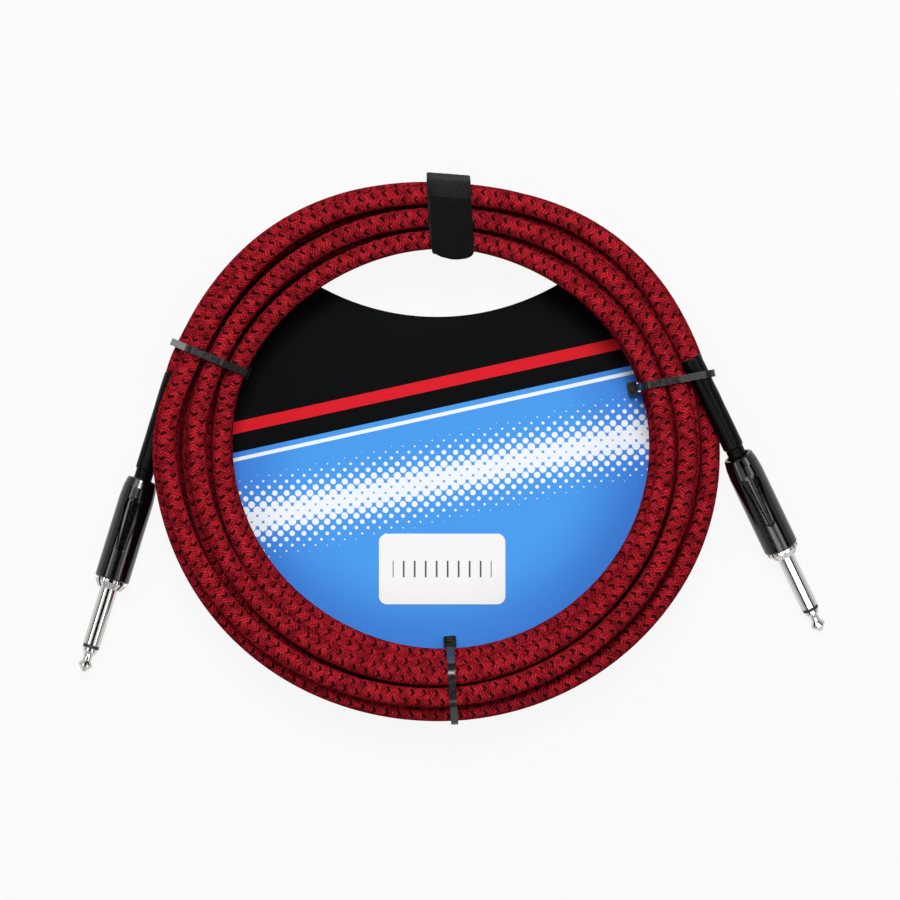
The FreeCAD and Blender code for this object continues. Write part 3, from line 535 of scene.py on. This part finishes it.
tongue = band("strap_tongue_band", course, False, tongue_edges, TONGUE_THICK, TONGUE_NAP)
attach(tongue, "strap_tongue")
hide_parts("strap_tongue")

# %% [markdown]
# ## Finishes: the helpers
#
# Each finish below starts from what the real material is. Colours are written as sRGB hex, as a paint
# program shows them, and one function turns them to the linear values that the renderer adds up. One
# small function adds a node, sets it and links it. The others after it add the kinds of node that come up
# again and again.

# %% Colour and node helpers
def linear(code):
    """'#rrggbb' as linear red, green, blue and alpha."""
    values = []
    for i in (1, 3, 5):
        c = int(code[i:i + 2], 16) / 255
        values.append(c / 12.92 if c <= 0.04045 else ((c + 0.055) / 1.055) ** 2.4)
    return (*values, 1.0)


def add(tree, kind, settings=None, sockets=None):
    """One node. A socket's value is a constant, or another node's output to link to."""
    node = tree.nodes.new(kind)
    for name, value in (settings or {}).items():
        setattr(node, name, value)
    for name, value in (sockets or {}).items():
        if isinstance(value, bpy.types.NodeSocket):
            tree.links.new(value, node.inputs[name])
        else:
            node.inputs[name].default_value = value
    return node


def new_finish(name, **sockets):
    """A material with one principled shader; sockets are its constants, by name with _ for a space."""
    material = bpy.data.materials.new(name)
    material.use_nodes = True
    tree = material.node_tree
    shader = tree.nodes["Principled BSDF"]
    for key, value in sockets.items():
        shader.inputs[key.replace("_", " ")].default_value = value
    print("finish:", name)
    return material, tree, shader


def calc(tree, operation, a, b=0.0, c=0.0):
    return add(tree, "ShaderNodeMath", {"operation": operation}, {0: a, 1: b, 2: c}).outputs[0]


def from_zero(tree, x, y):
    """How far a flat place is from zero."""
    return calc(tree, "SQRT", calc(tree, "ADD", calc(tree, "MULTIPLY", x, x), calc(tree, "MULTIPLY", y, y)))


def within(tree, value, middle, half):
    """1 where a value is no further than half from a middle, 0 elsewhere."""
    return calc(tree, "LESS_THAN", calc(tree, "ABSOLUTE", calc(tree, "SUBTRACT", value, middle)), half)


def remap(tree, value, low, high, new_low=0.0, new_high=1.0, **settings):
    """The range from low to high, stretched over a new range."""
    return add(tree, "ShaderNodeMapRange", settings, {
        0: value, 1: low, 2: high, 3: new_low, 4: new_high}).outputs[0]


def blend(tree, share, first, second, how="MIX"):
    """Two colours mixed; a share of 0 gives the first, 1 the second."""
    return add(tree, "ShaderNodeMix", {"data_type": "RGBA", "blend_type": how}, {
        0: share, 6: first, 7: second}).outputs[2]


def ramp(tree, value, *stops):
    """A colour for each value; a stop is a value and its colour, and the stops are in rising order."""
    node = add(tree, "ShaderNodeValToRGB", {}, {"Fac": value})
    elements = node.color_ramp.elements
    for i, (at, code) in enumerate(stops):
        stop = elements[i] if i < 2 else elements.new(at)
        stop.position = at
        stop.color = linear(code)
    return node.outputs[0]


def speckle(tree, per_mm, **sockets):
    """Noise on the object's own coordinates, with about so many bumps to the millimetre."""
    place = add(tree, "ShaderNodeTexCoord").outputs["Object"]
    return add(tree, "ShaderNodeTexNoise", {}, {"Vector": place, "Scale": per_mm / MM, **sockets}).outputs[0]


def relief(tree, shader, height, depth, strength=1.0):
    """Bumps in the surface, at most as deep as depth in millimetres."""
    bump = add(tree, "ShaderNodeBump", {}, {"Strength": strength, "Distance": depth * MM, "Height": height})
    tree.links.new(bump.outputs[0], shader.inputs["Normal"])


def in_millimetres(tree, x, y):
    """The place on the object in millimetres from (x, y), as a vector and as its two flat numbers."""
    place = add(tree, "ShaderNodeTexCoord").outputs["Object"]
    moved = add(tree, "ShaderNodeVectorMath", {"operation": "MULTIPLY_ADD"}, {
        0: place, 1: (1 / MM, 1 / MM, 1 / MM), 2: (-x, -y, 0)}).outputs[0]
    split = add(tree, "ShaderNodeSeparateXYZ", {}, {0: moved})
    return moved, split.outputs[0], split.outputs[1]


def wear(piece, material):
    """Puts one finish on every slot of a piece."""
    slots = piece.data.materials
    if not slots:
        slots.append(material)
    for i in range(len(slots)):
        slots[i] = material


# %% [markdown]
# ## Braided polyester
#
# The sleeve is braided from 24 yarns, twelve each way, and every fourth yarn is black. Each yarn passes
# over two others and under two. So a black yarn shows as short slanting flecks in rows. Of the yarns that
# run the other way, only half a fleck shows and it is narrower, which gives each fleck a bend like that
# of a wave. To draw this, the map's two directions are turned into the two slanting directions of the
# yarns. Whole numbers of these say which yarns meet at a place, and the remainder says how far across its
# yarn the place is, which gives each yarn its rounded height. Handling works the yarns loose, so a little
# noise bends the whole pattern.

# %% The braid's pattern
FLECK_SPACING = 4.4 * MM     # between flecks along the cable
ROWS_ROUND = 6               # rows of flecks round the cable
YARNS = 4.0                  # yarns from one black one to the next
WEAVE = 4.0                  # crossings after which over and under begin again
FLECK_WIDTH = 0.76           # of a yarn's own width
FLECK_TURN = 0.46            # the same, where a fleck bends into the other direction
YARN_ROUND = 3.6             # how steeply a yarn falls away beside its middle
YARN_BEND = 1.3 * MM         # handling has moved the yarns by up to half of this
BENDS = 420.0                # such bends to the metre

braid, tree, shader = new_finish("Braided polyester", Roughness=0.75, Specular_IOR_Level=0.0)
metres = add(tree, "ShaderNodeUVMap", {"uv_map": "metres"})
loose = add(tree, "ShaderNodeTexNoise", {}, {"Vector": metres.outputs[0], "Scale": BENDS, "Detail": 2.0})
centred = add(tree, "ShaderNodeVectorMath", {"operation": "SUBTRACT"}, {
    0: loose.outputs["Color"], 1: (0.5, 0.5, 0.5)})
moved = add(tree, "ShaderNodeVectorMath", {"operation": "SCALE"}, {
    0: centred.outputs[0], "Scale": YARN_BEND})
bent = add(tree, "ShaderNodeVectorMath", {"operation": "ADD"}, {0: metres.outputs[0], 1: moved.outputs[0]})
split = add(tree, "ShaderNodeSeparateXYZ", {}, {0: bent.outputs[0]})
axial = calc(tree, "MULTIPLY", split.outputs[0], YARNS / FLECK_SPACING)
around = calc(tree, "MULTIPLY", split.outputs[1], YARNS * ROWS_ROUND / 2 / (2 * pi * CABLE_R * MM))
one_way = calc(tree, "ADD", axial, around)
other_way = calc(tree, "SUBTRACT", axial, around)
yarn_a, yarn_b = calc(tree, "FLOOR", one_way), calc(tree, "FLOOR", other_way)
across_a, across_b = calc(tree, "FRACT", one_way), calc(tree, "FRACT", other_way)
# At crossings 0 and 1 the first yarn is on top, at 2 and 3 the other; its half fleck shows at 3 alone
crossing = calc(tree, "FLOORED_MODULO", calc(tree, "SUBTRACT", yarn_a, yarn_b), WEAVE)
a_on_top = calc(tree, "LESS_THAN", crossing, 1.5)
b_shows = calc(tree, "COMPARE", crossing, 3.0, 0.5)
across_top = add(tree, "ShaderNodeMix", {}, {0: a_on_top, 2: across_b, 3: across_a}).outputs[0]
from_middle = calc(tree, "ABSOLUTE", calc(tree, "SUBTRACT", across_top, 0.5))
fall = calc(tree, "MULTIPLY", calc(tree, "POWER", from_middle, 2.0), YARN_ROUND)
yarn_height = calc(tree, "SUBTRACT", 1.0, fall)
flecks = []
for yarn, on_top, width in ((yarn_a, a_on_top, FLECK_WIDTH), (yarn_b, b_shows, FLECK_TURN)):
    black_yarn = calc(tree, "LESS_THAN", calc(tree, "FLOORED_MODULO", yarn, YARNS), 0.5)
    narrow = calc(tree, "LESS_THAN", from_middle, width / 2)
    flecks.append(calc(tree, "MULTIPLY", calc(tree, "MULTIPLY", black_yarn, on_top), narrow))
black = calc(tree, "MAXIMUM", *flecks)

# %% The braid's colour and relief
VALLEY_SHADE = 1.5           # how fast the painted shade darkens the colour from a yarn's middle to its edge
patches = speckle(tree, 0.33, Detail=3.0, Roughness=0.65)
reds = ramp(tree, patches, (0.36, "#861924"), (0.66, "#da2d3a"))
# Painted shade: the red is darkened towards each yarn's edge, in the valleys between the yarns, where shade
# falls
valley_shade_share = calc(tree, "MULTIPLY", from_middle, VALLEY_SHADE)
yarn_red_with_painted_shade = blend(tree, valley_shade_share, reds, linear("#6e3a40"), "MULTIPLY")
colour = blend(tree, black, yarn_red_with_painted_shade, linear("#20120f"))
tree.links.new(colour, shader.inputs["Base Color"])
relief(tree, shader, yarn_height, 0.25)
wear(cable, braid)
print("braid: fleck every", round(FLECK_SPACING / MM, 1), "mm in", ROWS_ROUND, "rows")

# %% [markdown]
# ## Shrunk polyolefin
#
# Heat-shrink tube is a soft black plastic with a satin skin. Shrinking leaves faint lengthwise streaks,
# so the noise that drives its roughness and relief is stretched along the tube.

# %% Heat-shrink finish
STREAKS = (120, 900, 1)      # streaks to the metre along the tube and round it
polyolefin, tree, shader = new_finish(
    "Shrunk polyolefin", Base_Color=linear("#070708"), Specular_IOR_Level=0.08)
metres = add(tree, "ShaderNodeUVMap", {"uv_map": "metres"})
stretched = add(tree, "ShaderNodeVectorMath", {"operation": "MULTIPLY"}, {0: metres.outputs[0], 1: STREAKS})
streaks = add(tree, "ShaderNodeTexNoise", {}, {
    "Vector": stretched.outputs[0], "Scale": 1.0, "Detail": 4.0}).outputs[0]
tree.links.new(remap(tree, streaks, 0.3, 0.7, 0.24, 0.36), shader.inputs["Roughness"])
relief(tree, shader, streaks, 0.05, 0.2)
for piece in shrink.values():
    wear(piece, polyolefin)

# %% [markdown]
# ## Glossy ABS
#
# The shells are moulded in black ABS from a polished mould. The eye sees little colour, only the lights
# in the gloss, broken by a faint orange-peel relief and by fine scuffs from handling.

# %% Shell finish
abs_plastic, tree, shader = new_finish(
    "Glossy ABS", Base_Color=linear("#050505"), IOR=1.54, Specular_IOR_Level=0.5)
scuffs = speckle(tree, 0.9, Detail=6.0)
tree.links.new(remap(tree, scuffs, 0.35, 0.75, 0.08, 0.2), shader.inputs["Roughness"])
relief(tree, shader, speckle(tree, 0.42, Detail=2.0), 0.05, 0.12)
for side in SIDES:
    wear(nodes["shell_" + side], abs_plastic)

# %% [markdown]
# ## Nickel plate
#
# Plugs are turned from brass and plated with bright nickel. Fingers leave smudges that dull it in
# patches, and a very faint relief keeps its reflections from being perfect. Nickel is a little warmer and
# darker than chrome.

# %% Nickel finish
nickel, tree, shader = new_finish("Bright nickel plate", Base_Color=linear("#cfcdc9"), Metallic=1.0)
smudges = speckle(tree, 0.7, Detail=5.0)
tree.links.new(remap(tree, smudges, 0.35, 0.7, 0.05, 0.13), shader.inputs["Roughness"])
relief(tree, shader, speckle(tree, 3.0, Detail=2.0), 0.01, 0.03)
for side in SIDES:
    for name in ("tip_contact_", "sleeve_", "collar_"):
        wear(nodes[name + side], nickel)

# %% [markdown]
# ## The plug's hidden materials
#
# Unscrewing a shell bares its inner parts: an acetal insulator, tinned bronze lugs, a fibre washer, a
# polypropylene liner, the cable's PVC jacket, the core's polyethylene, a copper screen and drops of
# solder. They differ in little but colour, shine and grain, so one table lists them and one loop makes
# them. A little of the jacket and of the insulator shows outside too.

# %% Hidden finishes
HIDDEN = {
    # name: (colour, darker colour, metallic, roughness, specular, grain size in mm, nodes)
    "Black acetal": ("#141415", "#0c0c0d", 0.0, 0.42, 0.5, 0.5, ("tip_insulator_",)),
    "Tinned bronze": ("#c9b48a", "#a08a62", 1.0, 0.33, 0.5, 0.8, ("clamp_lug_", "tip_lug_")),
    "Vulcanised fibre": ("#4a3a2c", "#30251c", 0.0, 0.7, 0.5, 0.3, ("rear_washer_",)),
    "Polypropylene": ("#26272a", "#1b1c1e", 0.0, 0.38, 0.5, 1.2, ("liner_",)),
    "PVC jacket": ("#090909", "#050505", 0.0, 0.3, 0.06, 0.4, ("jacket_",)),
    "Polyethylene": ("#d8d4c6", "#c2bda9", 0.0, 0.4, 0.5, 0.5, ("core_",)),
    "Bare copper": ("#c98a63", "#9a5f3e", 1.0, 0.36, 0.5, 0.3, ("screen_",)),
    "Tin solder": ("#b9bbbd", "#8f9194", 1.0, 0.3, 0.5, 0.6, ("solder_",)),
}
for name, (light, dark, metallic, roughness, specular, grain, pieces) in HIDDEN.items():
    finish, tree, shader = new_finish(
        name, Metallic=metallic, Roughness=roughness, Specular_IOR_Level=specular)
    specks = speckle(tree, 1 / grain, Detail=3.0)
    tree.links.new(blend(tree, specks, linear(dark), linear(light)), shader.inputs["Base Color"])
    relief(tree, shader, specks, 0.04, 0.2)
    for prefix in pieces:
        for side in SIDES:
            wear(nodes[prefix + side], finish)

# %% [markdown]
# ## Nylon ties
#
# Cable ties are moulded in nylon 6.6. Black nylon has a soft gloss and thin edges that catch the light. The
# teeth on the inside of the band can't be seen, so they aren't drawn.

# %% Tie finish
nylon, tree, shader = new_finish("Nylon 6.6", Base_Color=linear("#0f1011"), IOR=1.53, Specular_IOR_Level=0.3)
mottle = speckle(tree, 0.5, Detail=3.0)
tree.links.new(remap(tree, mottle, 0.3, 0.7, 0.2, 0.34), shader.inputs["Roughness"])
relief(tree, shader, mottle, 0.08, 0.25)
for name in ("tie_left", "tie_right", "tie_bottom"):
    wear(nodes[name], nylon)

# %% [markdown]
# ## Brushed nylon loop and hook tape
#
# The strap's outer face is a pile of tiny loops, which looks like dark felt: rough, with a faint bloom at
# a grazing angle, which a sheen gives. The tongue is hook tape, darker and with a flatter grain. Both
# grains are noise, drawn at 0.5 and 0.7 mm where real loops and hooks are about 0.2 mm, so that they show
# in the picture.

# %% Strap finishes
CLOTHS = (
    # name, piece, colour, darker colour, grain size in mm, strength of the relief
    ("Brushed nylon loop", strap, "#2b2b2c", "#0c0c0d", 0.5, 0.95),
    ("Nylon hook tape", tongue, "#0c0c0d", "#040404", 0.7, 0.7),
)
LOOP_SHARE = 0.65            # the loops' part in the colour; the blotches have the rest
for name, piece, light, dark, grain, strength in CLOTHS:
    cloth, tree, shader = new_finish(name, Roughness=0.9, Specular_IOR_Level=0.1, Sheen_Weight=0.03)
    loops = speckle(tree, 1 / grain, Detail=3.0, Roughness=0.7)
    blotches = speckle(tree, 0.16)
    both = calc(tree, "ADD", calc(tree, "MULTIPLY", loops, LOOP_SHARE),
                calc(tree, "MULTIPLY", blotches, 1 - LOOP_SHARE))
    tree.links.new(ramp(tree, both, (0.36, dark), (0.64, light)), shader.inputs["Base Color"])
    relief(tree, shader, loops, 0.35, strength)
    wear(piece, cloth)

# %% [markdown]
# ## Printed board
#
# The card is coated board, printed in blue, black, white and red. The design here is a plain one of its
# own: a black field that ends on a slanting edge, a red stripe in it, a white line below the edge, and a
# slanting band of halftone dots that swell towards the middle of the band. It is drawn from the object's
# own coordinates, turned to millimetres from the coil's middle, so each size in it is a real one.

# %% The printed design
SLANT = 0.22                 # how much the design rises for each millimetre to the right
EDGE_AT = 16.0               # the black field's edge, in mm above the coil's middle
EDGE_SOFT = 0.05
STRIPE_ABOVE, STRIPE_HALF = 9.0, 2.2      # the stripe's middle, measured from the edge, and half its width
LINE_BELOW, LINE_HALF = 2.6, 0.7
DOTS_BELOW, DOTS_HALF = 26.0, 17.0
DOT_SPACING = 3.0
DOT_LARGEST = 0.62           # a dot's radius in the middle of the band, as a share of the spacing
DOT_SOFT = 0.04
SCREEN_ANGLE = 45            # degrees by which the rows of dots are turned
BLUE_REACH = 90.0            # the blue's shades lie at shares of this distance from the middle

board, tree, shader = new_finish("Coated board", Roughness=0.27, Specular_IOR_Level=0.03)
in_mm, x, y = in_millimetres(tree, COIL_X, COIL_Y)
above_edge = calc(tree, "SUBTRACT", y, calc(tree, "MULTIPLY_ADD", x, SLANT, EDGE_AT))
outward = calc(tree, "DIVIDE", from_zero(tree, x, y), BLUE_REACH)
blues = ramp(tree, outward, (0.55, "#4c9cec"), (0.92, "#3d78dc"))

# %% The dots
turned = add(tree, "ShaderNodeVectorRotate", {"rotation_type": "Z_AXIS"}, {
    "Vector": in_mm, "Angle": radians(SCREEN_ANGLE)}).outputs[0]
scaled = add(tree, "ShaderNodeVectorMath", {"operation": "SCALE"}, {
    0: turned, "Scale": 1 / DOT_SPACING}).outputs[0]
cell = add(tree, "ShaderNodeVectorMath", {"operation": "FRACTION"}, {0: scaled}).outputs[0]
split = add(tree, "ShaderNodeSeparateXYZ", {}, {0: cell})
from_dot = from_zero(tree, *(calc(tree, "SUBTRACT", split.outputs[i], 0.5) for i in (0, 1)))
from_band = calc(tree, "ABSOLUTE", calc(tree, "ADD", above_edge, DOTS_BELOW))
dot_share = calc(tree, "SUBTRACT", 1.0, calc(tree, "DIVIDE", from_band, DOTS_HALF))
dot_size = calc(tree, "MULTIPLY", dot_share, DOT_LARGEST)
in_dot = remap(tree, calc(tree, "SUBTRACT", dot_size, from_dot), -DOT_SOFT, DOT_SOFT,
               interpolation_type="SMOOTHSTEP")

# %% The card's colour and relief
in_black = remap(tree, above_edge, -EDGE_SOFT, EDGE_SOFT)
in_stripe = within(tree, above_edge, STRIPE_ABOVE, STRIPE_HALF)
in_line = within(tree, above_edge, -LINE_BELOW, LINE_HALF)
printed = blues
for share, ink in ((in_dot, "#eef4fb"), (in_black, "#0a0b0c"), (in_stripe, "#d8202c"), (in_line, "#eef4fb")):
    printed = blend(tree, share, printed, linear(ink))
tree.links.new(printed, shader.inputs["Base Color"])
relief(tree, shader, speckle(tree, 0.03, Detail=1.0), 0.3, 0.3)
wear(nodes["insert_card"], board)

# %% [markdown]
# ## The label
#
# A white paper sticker with rounded corners. A row of ticks, like those of a plain ruler, is printed on it.

# %% Label finish
LABEL_X, LABEL_Y = 1.5, -42.6    # its middle, in mm from the coil's
TICK_SPACING = 4.0
TICK_HALF = 0.08             # half a tick's width, as a share of the spacing
TICK_REACH = 3.0             # a tick's half height
ROW_HALF = 18.0              # and the half length of the row
paper, tree, shader = new_finish("Matt paper", Roughness=0.6)
in_mm, x, y = in_millimetres(tree, COIL_X + LABEL_X, COIL_Y + LABEL_Y)
in_tick = within(tree, calc(tree, "FRACT", calc(tree, "DIVIDE", x, TICK_SPACING)), 0.5, TICK_HALF)
in_row = within(tree, y, 0.0, TICK_REACH)
in_reach = within(tree, x, 0.0, ROW_HALF)
ticks = calc(tree, "MULTIPLY", calc(tree, "MULTIPLY", in_tick, in_row), in_reach)
fibres = speckle(tree, 1.5, Detail=3.0)
sheet_white = blend(tree, fibres, linear("#e9e8ea"), linear("#f6f5f6"))
tree.links.new(blend(tree, ticks, sheet_white, linear("#2a2a2e")), shader.inputs["Base Color"])
relief(tree, shader, fibres, 0.03, 0.1)
wear(nodes["card_label"], paper)

# %% [markdown]
# ## The table and the light
#
# The object lies on a plain white table. To the camera, and in what gloss mirrors, nine tenths of the
# table is a glow, so that it looks white and keeps only a trace of shadow. The main lamp hangs high over
# the far side: it lights the tops of the strands and leaves the valleys between them dark. Three weaker
# lamps stand round it.
#
# Glossy black plastic and bright metal show mostly what they mirror, so the surroundings matter. A
# photographer hangs a white tent round such a thing, and the world does the same here. It lights the
# object little, and is bright only where it is mirrored. A dark round patch overhead keeps level black
# surfaces black, and a dark ring lower down draws dark lines along the metal. The camera's arm, a dark
# bar on the near side, shows in what is tipped that way. Two long lamps at the sides draw pale lines
# along the plugs, and light nothing else.

# %% Table
FLOOR_HALF = 3.0
FLOOR_GLOW = 0.91
corners = [(x * FLOOR_HALF, y * FLOOR_HALF, 0) for x, y in ((-1, -1), (1, -1), (1, 1), (-1, 1))]
floor = new_piece("table", corners, [(0, 1, 2, 3)])
laminate, tree, shader = new_finish("White laminate", Base_Color=linear("#c0c0c0"), Roughness=0.7)
glow = add(tree, "ShaderNodeEmission", {}, {"Color": (1, 1, 1, 1), "Strength": 1.0})
path = add(tree, "ShaderNodeLightPath")
mirrored = calc(tree, "MAXIMUM", path.outputs["Is Camera Ray"], path.outputs["Is Glossy Ray"])
seen = calc(tree, "MULTIPLY", mirrored, FLOOR_GLOW)
mix = add(tree, "ShaderNodeMixShader", {}, {0: seen, 1: shader.outputs[0], 2: glow.outputs[0]})
tree.links.new(mix.outputs[0], tree.nodes["Material Output"].inputs["Surface"])
wear(floor, laminate)

# %% Lamps
LAMPS = (
    # name, place and size in metres, power in watts
    ("overhead", (0.0, 0.75, 1.9), (0.65, 0.65), 32.0),
    ("high_left", (-0.75, 0.95, 1.15), (0.7, 0.7), 4.0),
    ("high_right", (0.95, 0.6, 1.2), (0.6, 0.6), 2.5),
    ("high_near", (0.15, -1.0, 1.3), (0.6, 0.6), 4.6),
    ("left_strip", (-1.05, -0.2, 1.2), (2.4, 0.34), 7.5),
    ("right_strip", (1.05, -0.2, 1.2), (2.4, 0.34), 7.0),
)
for name, place, size, power in LAMPS:
    lamp = bpy.data.lights.new(name, "AREA")
    lamp.shape = "RECTANGLE"
    lamp.size, lamp.size_y = size
    lamp.energy = power
    stand = bpy.data.objects.new(name, lamp)
    stand.location = place
    stand.visible_diffuse = not name.endswith("strip")      # the strips only show in gloss
    stand.rotation_euler = (-Vector(place)).to_track_quat("-Z", "Y").to_euler()
    bpy.context.scene.collection.objects.link(stand)
print("lamps:", len(LAMPS))

# %% The tent
WORLD_LIGHT = 0.12
WORLD_MIRRORED = 1.2         # the tent's white as gloss and metal mirror it
TENT = (
    # degrees from straight up, and how bright the tent is there
    (64, "#b4b4b4"), (61, "#0a0a0a"), (49, "#0a0a0a"), (45, "#f0f0f0"), (18, "#f0f0f0"), (13, "#0c0c0c"),
)
ARM_MIDDLE, ARM_HALF = 0.12, 0.17    # the camera's arm across X, as shares of a direction's length
ARM_DOWN_TO = 45.0           # degrees from straight up

world = bpy.data.worlds.new("studio")
world.use_nodes = True
tree = world.node_tree
way = add(tree, "ShaderNodeSeparateXYZ", {}, {0: add(tree, "ShaderNodeTexCoord").outputs["Generated"]})
tent = ramp(tree, way.outputs[2], *((cos(radians(at)), grey) for at, grey in TENT))
mirrored = add(tree, "ShaderNodeLightPath").outputs["Is Glossy Ray"]
strength = calc(tree, "MULTIPLY_ADD", mirrored, WORLD_MIRRORED - WORLD_LIGHT, WORLD_LIGHT)
along_arm = calc(tree, "COMPARE", way.outputs[0], ARM_MIDDLE, ARM_HALF)
near_side = calc(tree, "LESS_THAN", way.outputs[1], 0.0)
high_up = calc(tree, "GREATER_THAN", way.outputs[2], cos(radians(ARM_DOWN_TO)))
arm = calc(tree, "MULTIPLY", calc(tree, "MULTIPLY", along_arm, near_side), high_up)
strength = calc(tree, "MULTIPLY", strength, calc(tree, "SUBTRACT", 1.0, arm))
tree.links.new(tent, tree.nodes["Background"].inputs["Color"])
tree.links.new(strength, tree.nodes["Background"].inputs["Strength"])
bpy.context.scene.world = world
bpy.context.scene.view_settings.view_transform = "Standard"
print("tent:", len(TENT), "stops")
